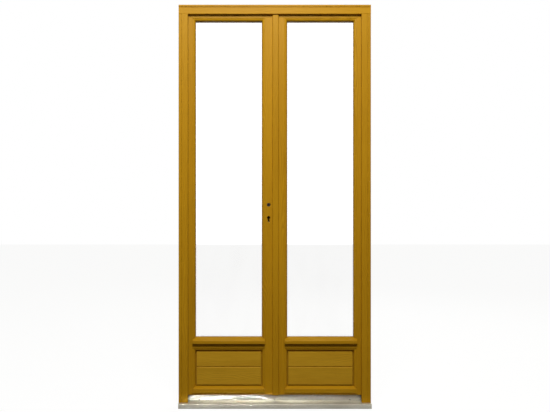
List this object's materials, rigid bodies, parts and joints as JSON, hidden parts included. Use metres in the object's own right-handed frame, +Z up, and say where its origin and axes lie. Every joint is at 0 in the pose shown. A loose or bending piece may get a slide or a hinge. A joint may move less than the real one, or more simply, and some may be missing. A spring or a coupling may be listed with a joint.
{
  "type": "french doors",
  "caption": "Stained timber french doors, two glazed leaves over raised panels, opening inwards in their own frame on a metal threshold.",
  "frame": {"origin": "under the threshold, half way across, in the plane of the frame's outer face", "axes": "+X to the right seen from outside, +Y from the outside into the room, +Z up"},
  "size_m": [1.038, 0.108, 2.174],
  "materials": {
    "timber": "satin",
    "alloy": "satin",
    "steel": "satin",
    "spacer": "matte",
    "rubber": "matte",
    "glass": "gloss"
  },
  "bodies": {
    "frame": {"frame_head": "timber", "frame_left_stile": "timber", "frame_right_stile": "timber", "threshold": "alloy", "frame_seals": "rubber", "threshold_seal": "rubber", "head_strike": "steel", "threshold_strike": "steel", "frame_screws": "steel", "strike_screws": "steel", "left_frame_knuckles": "steel", "left_hinge_pins": "steel", "right_frame_knuckles": "steel", "right_hinge_pins": "steel"},
    "left_leaf": {"left_leaf_knuckles": "steel", "left_hinge_stile": "timber", "left_meeting_stile": "timber", "left_top_rail": "timber", "left_middle_rail": "timber", "left_bottom_rail": "timber", "left_upper_board": "timber", "left_lower_board": "timber", "left_outer_pane": "glass", "left_inner_pane": "glass", "left_pane_spacer": "spacer", "left_glazing_tapes": "rubber", "left_setting_blocks": "rubber", "left_glass_beads": "timber", "left_panel_beads": "timber", "lock_case": "steel", "lock_cover": "steel", "lock_faceplate": "steel", "faceplate_screws": "steel"},
    "right_leaf": {"right_leaf_knuckles": "steel", "right_hinge_stile": "timber", "right_meeting_stile": "timber", "right_top_rail": "timber", "right_middle_rail": "timber", "right_bottom_rail": "timber", "right_upper_board": "timber", "right_lower_board": "timber", "right_outer_pane": "glass", "right_inner_pane": "glass", "right_pane_spacer": "spacer", "right_glazing_tapes": "rubber", "right_setting_blocks": "rubber", "right_glass_beads": "timber", "right_panel_beads": "timber", "astragal": "timber", "flush_bolt_plates": "steel", "bolt_strike": "steel", "flush_screws": "steel"},
    "lock_follower": {"lock_follower": "steel"},
    "top_rod": {"top_rod": "steel"},
    "bottom_rod": {"bottom_rod": "steel"},
    "dead_bolt": {"dead_bolt": "steel"},
    "flush_bolt_top": {"flush_bolt_top": "steel"},
    "flush_bolt_bottom": {"flush_bolt_bottom": "steel"}
  },
  "joints": [
    {"name": "left_leaf_swing", "type": "hinge", "parent": "frame", "child": "left_leaf", "pos_m": [-0.507, 0.079, 0], "axis": [0, 0, 1], "range_deg": [0, 110]},
    {"name": "right_leaf_swing", "type": "hinge", "parent": "frame", "child": "right_leaf", "pos_m": [0.507, 0.079, 0], "axis": [0, 0, 1], "range_deg": [-99, 0]},
    {"name": "follower_turn", "type": "hinge", "parent": "left_leaf", "child": "lock_follower", "pos_m": [-0.0325, 0.0435, 1.094], "axis": [0, -1, 0], "range_deg": [0, 90]},
    {"name": "top_rod_slide", "type": "slide", "parent": "left_leaf", "child": "top_rod", "axis": [0, 0, 1], "range_m": [0, 0.014]},
    {"name": "bottom_rod_slide", "type": "slide", "parent": "left_leaf", "child": "bottom_rod", "axis": [0, 0, -1], "range_m": [0, 0.014]},
    {"name": "dead_bolt_slide", "type": "slide", "parent": "left_leaf", "child": "dead_bolt", "axis": [1, 0, 0], "range_m": [0, 0.02]},
    {"name": "flush_bolt_top_slide", "type": "slide", "parent": "right_leaf", "child": "flush_bolt_top", "axis": [0, 0, 1], "range_m": [0, 0.016]},
    {"name": "flush_bolt_bottom_slide", "type": "slide", "parent": "right_leaf", "child": "flush_bolt_bottom", "axis": [0, 0, -1], "range_m": [0, 0.016]}
  ],
  "couplings": [
    {"joint": "right_leaf_swing", "follows": "left_leaf_swing", "ratio": -0.9},
    {"joint": "follower_turn", "follows": "top_rod_slide", "rad_per_m": 112.19},
    {"joint": "bottom_rod_slide", "follows": "top_rod_slide", "ratio": 1}
  ]
}
